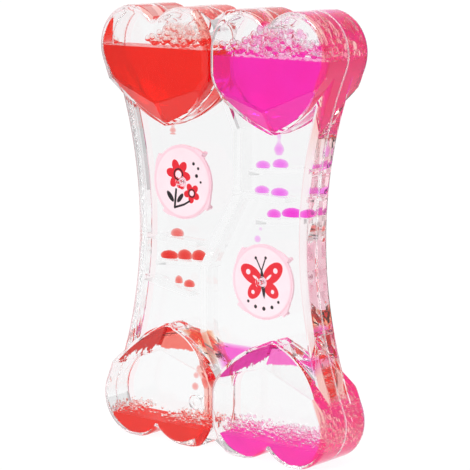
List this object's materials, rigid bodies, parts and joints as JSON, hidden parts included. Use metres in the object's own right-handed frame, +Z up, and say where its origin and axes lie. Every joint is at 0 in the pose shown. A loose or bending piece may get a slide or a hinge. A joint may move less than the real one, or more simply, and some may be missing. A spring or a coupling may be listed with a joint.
{
  "type": "liquid motion timer",
  "caption": "Clear hourglass case with heart-shaped reservoirs at both ends; coloured drops fall over ramps and turn small paddle wheels as a desk timer.",
  "frame": {"origin": "middle of the plane it stands on, under the centre of the case", "axes": "+Z up, front window towards -Y, +X to the right seen from the front"},
  "size_m": [0.091, 0.0226, 0.14],
  "materials": {
    "clear_plastic": "clear moulded styrene, polished",
    "weld_bead": "cloudy solvent bead along the parting line",
    "plug_plastic": "translucent press plug",
    "wheel_plastic": "pale pink moulded plastic",
    "wheel_print": "pale pink film with a two-colour ornament",
    "pin_plastic": "clear drawn rod",
    "red_liquid": "dyed water, orange red",
    "magenta_liquid": "dyed water, magenta pink",
    "red_foam": "fine froth of drops",
    "magenta_foam": "fine froth of drops",
    "red_drops": "dyed water drops",
    "magenta_drops": "dyed water drops"
  },
  "bodies": {
    "case": {"front_shell": "clear_plastic", "rear_shell": "clear_plastic", "seam_bead": "weld_bead", "fill_plug_red": "plug_plastic", "fill_plug_magenta": "plug_plastic", "left_wheel_pin": "pin_plastic", "right_wheel_pin": "pin_plastic", "upper_liquid_red": "red_liquid", "lower_liquid_red": "red_liquid", "valley_pool_red": "red_liquid", "upper_liquid_magenta": "magenta_liquid", "lower_liquid_magenta": "magenta_liquid", "inner_pool_magenta": "magenta_liquid", "outer_pool_magenta": "magenta_liquid", "upper_foam_red": "red_foam", "lower_foam_red": "red_foam", "upper_foam_magenta": "magenta_foam", "lower_foam_magenta": "magenta_foam", "ramp_drops_red_2": "red_drops", "wall_drop_red": "red_drops", "wheel_drops_magenta": "magenta_drops"},
    "left_wheel_unit": {"left_wheel": "wheel_plastic", "left_wheel_label": "wheel_print"},
    "right_wheel_unit": {"right_wheel": "wheel_plastic", "right_wheel_label": "wheel_print"},
    "red_tip_drop": {"tip_drop_red": "red_drops"},
    "magenta_tip_drop": {"tip_drop_magenta": "magenta_drops"},
    "red_entry_drops": {"entry_drops_red": "red_drops"},
    "red_ramp_drop_1": {"ramp_drop_red_1": "red_drops"},
    "red_ramp_drops_3": {"ramp_drops_red_3": "red_drops"},
    "magenta_ramp_drops_1": {"ramp_drops_magenta_1": "magenta_drops"},
    "magenta_ramp_drops_2": {"ramp_drops_magenta_2": "magenta_drops"},
    "magenta_ramp_drops_3": {"ramp_drops_magenta_3": "magenta_drops"}
  },
  "joints": [
    {"name": "left_wheel_spin", "type": "hinge", "parent": "case", "child": "left_wheel_unit", "pos_m": [-0.0162, 0, 0.0843], "axis": [0, 1, 0], "continuous": true},
    {"name": "right_wheel_spin", "type": "hinge", "parent": "case", "child": "right_wheel_unit", "pos_m": [0.0162, 0, 0.0557], "axis": [0, 1, 0], "continuous": true},
    {"name": "red_tip_drop_fall", "type": "slide", "parent": "case", "child": "red_tip_drop", "axis": [0, 0, -1], "range_m": [0, 0.0019]},
    {"name": "magenta_tip_drop_fall", "type": "slide", "parent": "case", "child": "magenta_tip_drop", "axis": [0, 0, -1], "range_m": [0, 0.0007]},
    {"name": "red_entry_drops_fall", "type": "slide", "parent": "case", "child": "red_entry_drops", "axis": [0, 0, -1], "range_m": [0, 0.006]},
    {"name": "red_ramp_drop_1_roll", "type": "slide", "parent": "case", "child": "red_ramp_drop_1", "axis": [0.999, 0, -0.0454], "range_m": [-0.0075, 0.0075]},
    {"name": "red_ramp_drops_3_roll", "type": "slide", "parent": "case", "child": "red_ramp_drops_3", "axis": [0.985, 0, -0.1726], "range_m": [-0.009, 0.0006]},
    {"name": "magenta_ramp_drops_1_roll", "type": "slide", "parent": "case", "child": "magenta_ramp_drops_1", "axis": [-0.9944, 0, -0.106], "range_m": [-0.007, 0.0012]},
    {"name": "magenta_ramp_drops_2_roll", "type": "slide", "parent": "case", "child": "magenta_ramp_drops_2", "axis": [0.9996, 0, -0.0287], "range_m": [-0.0033, 0.0016]},
    {"name": "magenta_ramp_drops_3_roll", "type": "slide", "parent": "case", "child": "magenta_ramp_drops_3", "axis": [-0.9951, 0, -0.099], "range_m": [-0.0006, 0.0026]}
  ]
}
